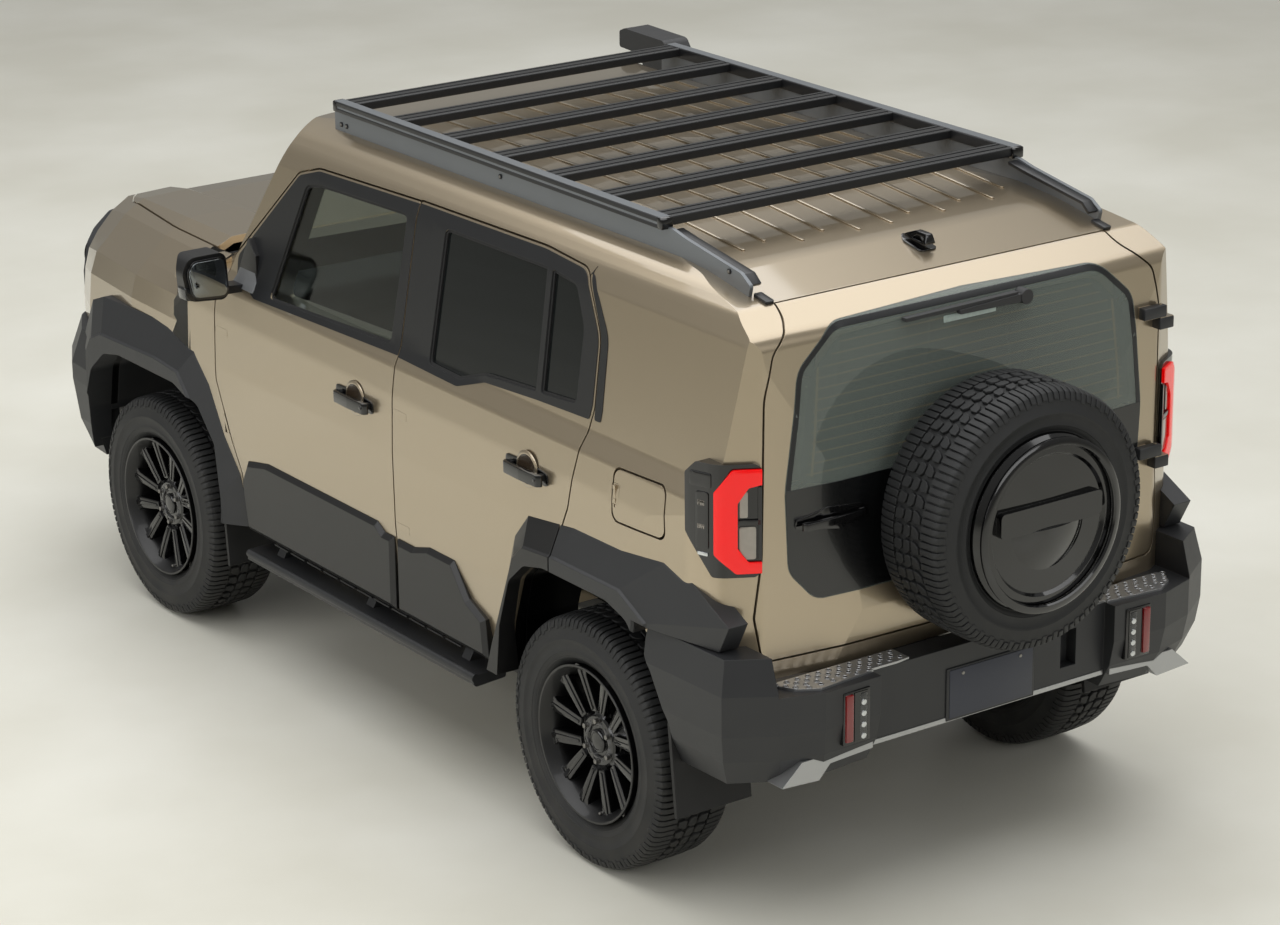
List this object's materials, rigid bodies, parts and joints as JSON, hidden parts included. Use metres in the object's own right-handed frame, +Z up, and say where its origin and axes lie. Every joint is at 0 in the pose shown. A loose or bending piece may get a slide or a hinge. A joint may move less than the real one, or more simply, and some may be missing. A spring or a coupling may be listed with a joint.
{
  "type": "lifted off-road 4x4",
  "caption": "Boxy lifted off-road 4x4 with side doors, side-hinged back door carrying a covered spare wheel, roof platform, snorkel, wide flares and side steps.",
  "frame": {"origin": "on the ground under the middle of the whole length and width", "axes": "+Z up, the front faces -Y, +X is the vehicle's left side"},
  "size_m": [2.1508, 4.5749, 1.9599],
  "materials": {
    "paint": "metallic satin gloss",
    "shell_paint": "metallic satin gloss",
    "clad_black": "matte grained",
    "gloss_black": "gloss",
    "silver": "satin",
    "glass_clear": "clear",
    "glass_dark": "privacy tint",
    "lamp_red": "clear coated lens",
    "lamp_clear": "clear lens",
    "rack_black": "powder coat",
    "rack_grey": "powder coat",
    "tyre": "black rubber",
    "rim": "gloss black painted alloy",
    "cabin_trim": "grained",
    "cloth": "woven",
    "frame": "chassis paint",
    "iron": "cast",
    "steel": "plain",
    "rubber": "moulded"
  },
  "bodies": {
    "root": {"body_shell": "shell_paint", "front_wings": "paint", "windscreen": "glass_clear", "grille_mask": "clad_black", "headlamps": "lamp_clear", "front_bumper": "clad_black", "front_skid_plate": "silver", "wheel_arch_flares": "clad_black", "side_steps": "clad_black", "rear_bumper": "clad_black", "rear_bumper_metal": "silver", "rear_lamps": "lamp_red", "rack_slats": "rack_black", "rack_sides": "rack_grey", "antenna_pod": "gloss_black", "snorkel": "clad_black", "seats": "cloth", "dashboard": "cabin_trim", "chassis_rails": "frame", "crossmembers": "frame", "engine": "iron", "gearbox_and_shafts": "iron", "exhaust": "steel", "fuel_tank": "cabin_trim", "front_suspension": "frame", "rear_axle": "frame", "arch_liners": "clad_black", "mud_flaps": "rubber"},
    "door_front_left": {"door_front_left": "paint", "glass_front_left": "glass_clear", "trim_front_left": "clad_black"},
    "door_front_right": {"door_front_right": "paint", "glass_front_right": "glass_clear", "trim_front_right": "clad_black"},
    "door_rear_left": {"door_rear_left": "paint", "glass_rear_left": "glass_dark", "trim_rear_left": "clad_black"},
    "door_rear_right": {"door_rear_right": "paint", "glass_rear_right": "glass_dark", "trim_rear_right": "clad_black"},
    "back_door": {"back_door": "paint", "back_glass": "glass_dark", "spare_tyre": "tyre", "spare_cover": "gloss_black", "rear_wiper": "cabin_trim"},
    "bonnet": {"bonnet": "paint"},
    "fuel_flap": {"fuel_flap": "paint"},
    "knuckle_left": {"knuckle_left": "iron"},
    "knuckle_right": {"knuckle_right": "iron"},
    "wheel_front_left": {"tyre_front_left": "tyre", "rim_front_left": "rim"},
    "wheel_front_right": {"tyre_front_right": "tyre", "rim_front_right": "rim"},
    "wheel_rear_left": {"tyre_rear_left": "tyre", "rim_rear_left": "rim"},
    "wheel_rear_right": {"tyre_rear_right": "tyre", "rim_rear_right": "rim"}
  },
  "joints": [
    {"name": "door_front_left_hinge", "type": "hinge", "parent": "root", "child": "door_front_left", "pos_m": [0.871, -0.818, 0.945], "axis": [0, 0, -1], "range_deg": [0, 65]},
    {"name": "door_rear_left_hinge", "type": "hinge", "parent": "root", "child": "door_rear_left", "pos_m": [0.871, 0.286, 0.945], "axis": [0, 0, -1], "range_deg": [0, 65]},
    {"name": "door_front_right_hinge", "type": "hinge", "parent": "root", "child": "door_front_right", "pos_m": [-0.871, -0.818, 0.945], "axis": [0, 0, 1], "range_deg": [0, 65]},
    {"name": "door_rear_right_hinge", "type": "hinge", "parent": "root", "child": "door_rear_right", "pos_m": [-0.871, 0.286, 0.945], "axis": [0, 0, 1], "range_deg": [0, 65]},
    {"name": "back_door_hinge", "type": "hinge", "parent": "root", "child": "back_door", "pos_m": [-0.712, 1.934, 1.3], "axis": [0, 0, 1], "range_deg": [0, 90]},
    {"name": "bonnet_hinge", "type": "hinge", "parent": "root", "child": "bonnet", "pos_m": [0, -1.262, 1.3], "axis": [-1, 0, 0], "range_deg": [0, 50]},
    {"name": "fuel_flap_hinge", "type": "hinge", "parent": "root", "child": "fuel_flap", "pos_m": [0.875, 1.41, 1.198], "axis": [0, 0, -1], "range_deg": [0, 85]},
    {"name": "steer_left", "type": "hinge", "parent": "root", "child": "knuckle_left", "pos_m": [0.648, -1.3005, 0.3875], "axis": [0, 0, 1], "range_deg": [-33, 33]},
    {"name": "steer_right", "type": "hinge", "parent": "root", "child": "knuckle_right", "pos_m": [-0.648, -1.3005, 0.3875], "axis": [0, 0, 1], "range_deg": [-33, 33]},
    {"name": "wheel_front_left_spin", "type": "hinge", "parent": "knuckle_left", "child": "wheel_front_left", "pos_m": [0.772, -1.3005, 0.3875], "axis": [1, 0, 0], "continuous": true},
    {"name": "wheel_rear_left_spin", "type": "hinge", "parent": "root", "child": "wheel_rear_left", "pos_m": [0.772, 1.2795, 0.3875], "axis": [1, 0, 0], "continuous": true},
    {"name": "wheel_front_right_spin", "type": "hinge", "parent": "knuckle_right", "child": "wheel_front_right", "pos_m": [-0.772, -1.3005, 0.3875], "axis": [1, 0, 0], "continuous": true},
    {"name": "wheel_rear_right_spin", "type": "hinge", "parent": "root", "child": "wheel_rear_right", "pos_m": [-0.772, 1.2795, 0.3875], "axis": [1, 0, 0], "continuous": true}
  ],
  "couplings": [
    {"joint": "steer_right", "follows": "steer_left", "ratio": 1}
  ]
}
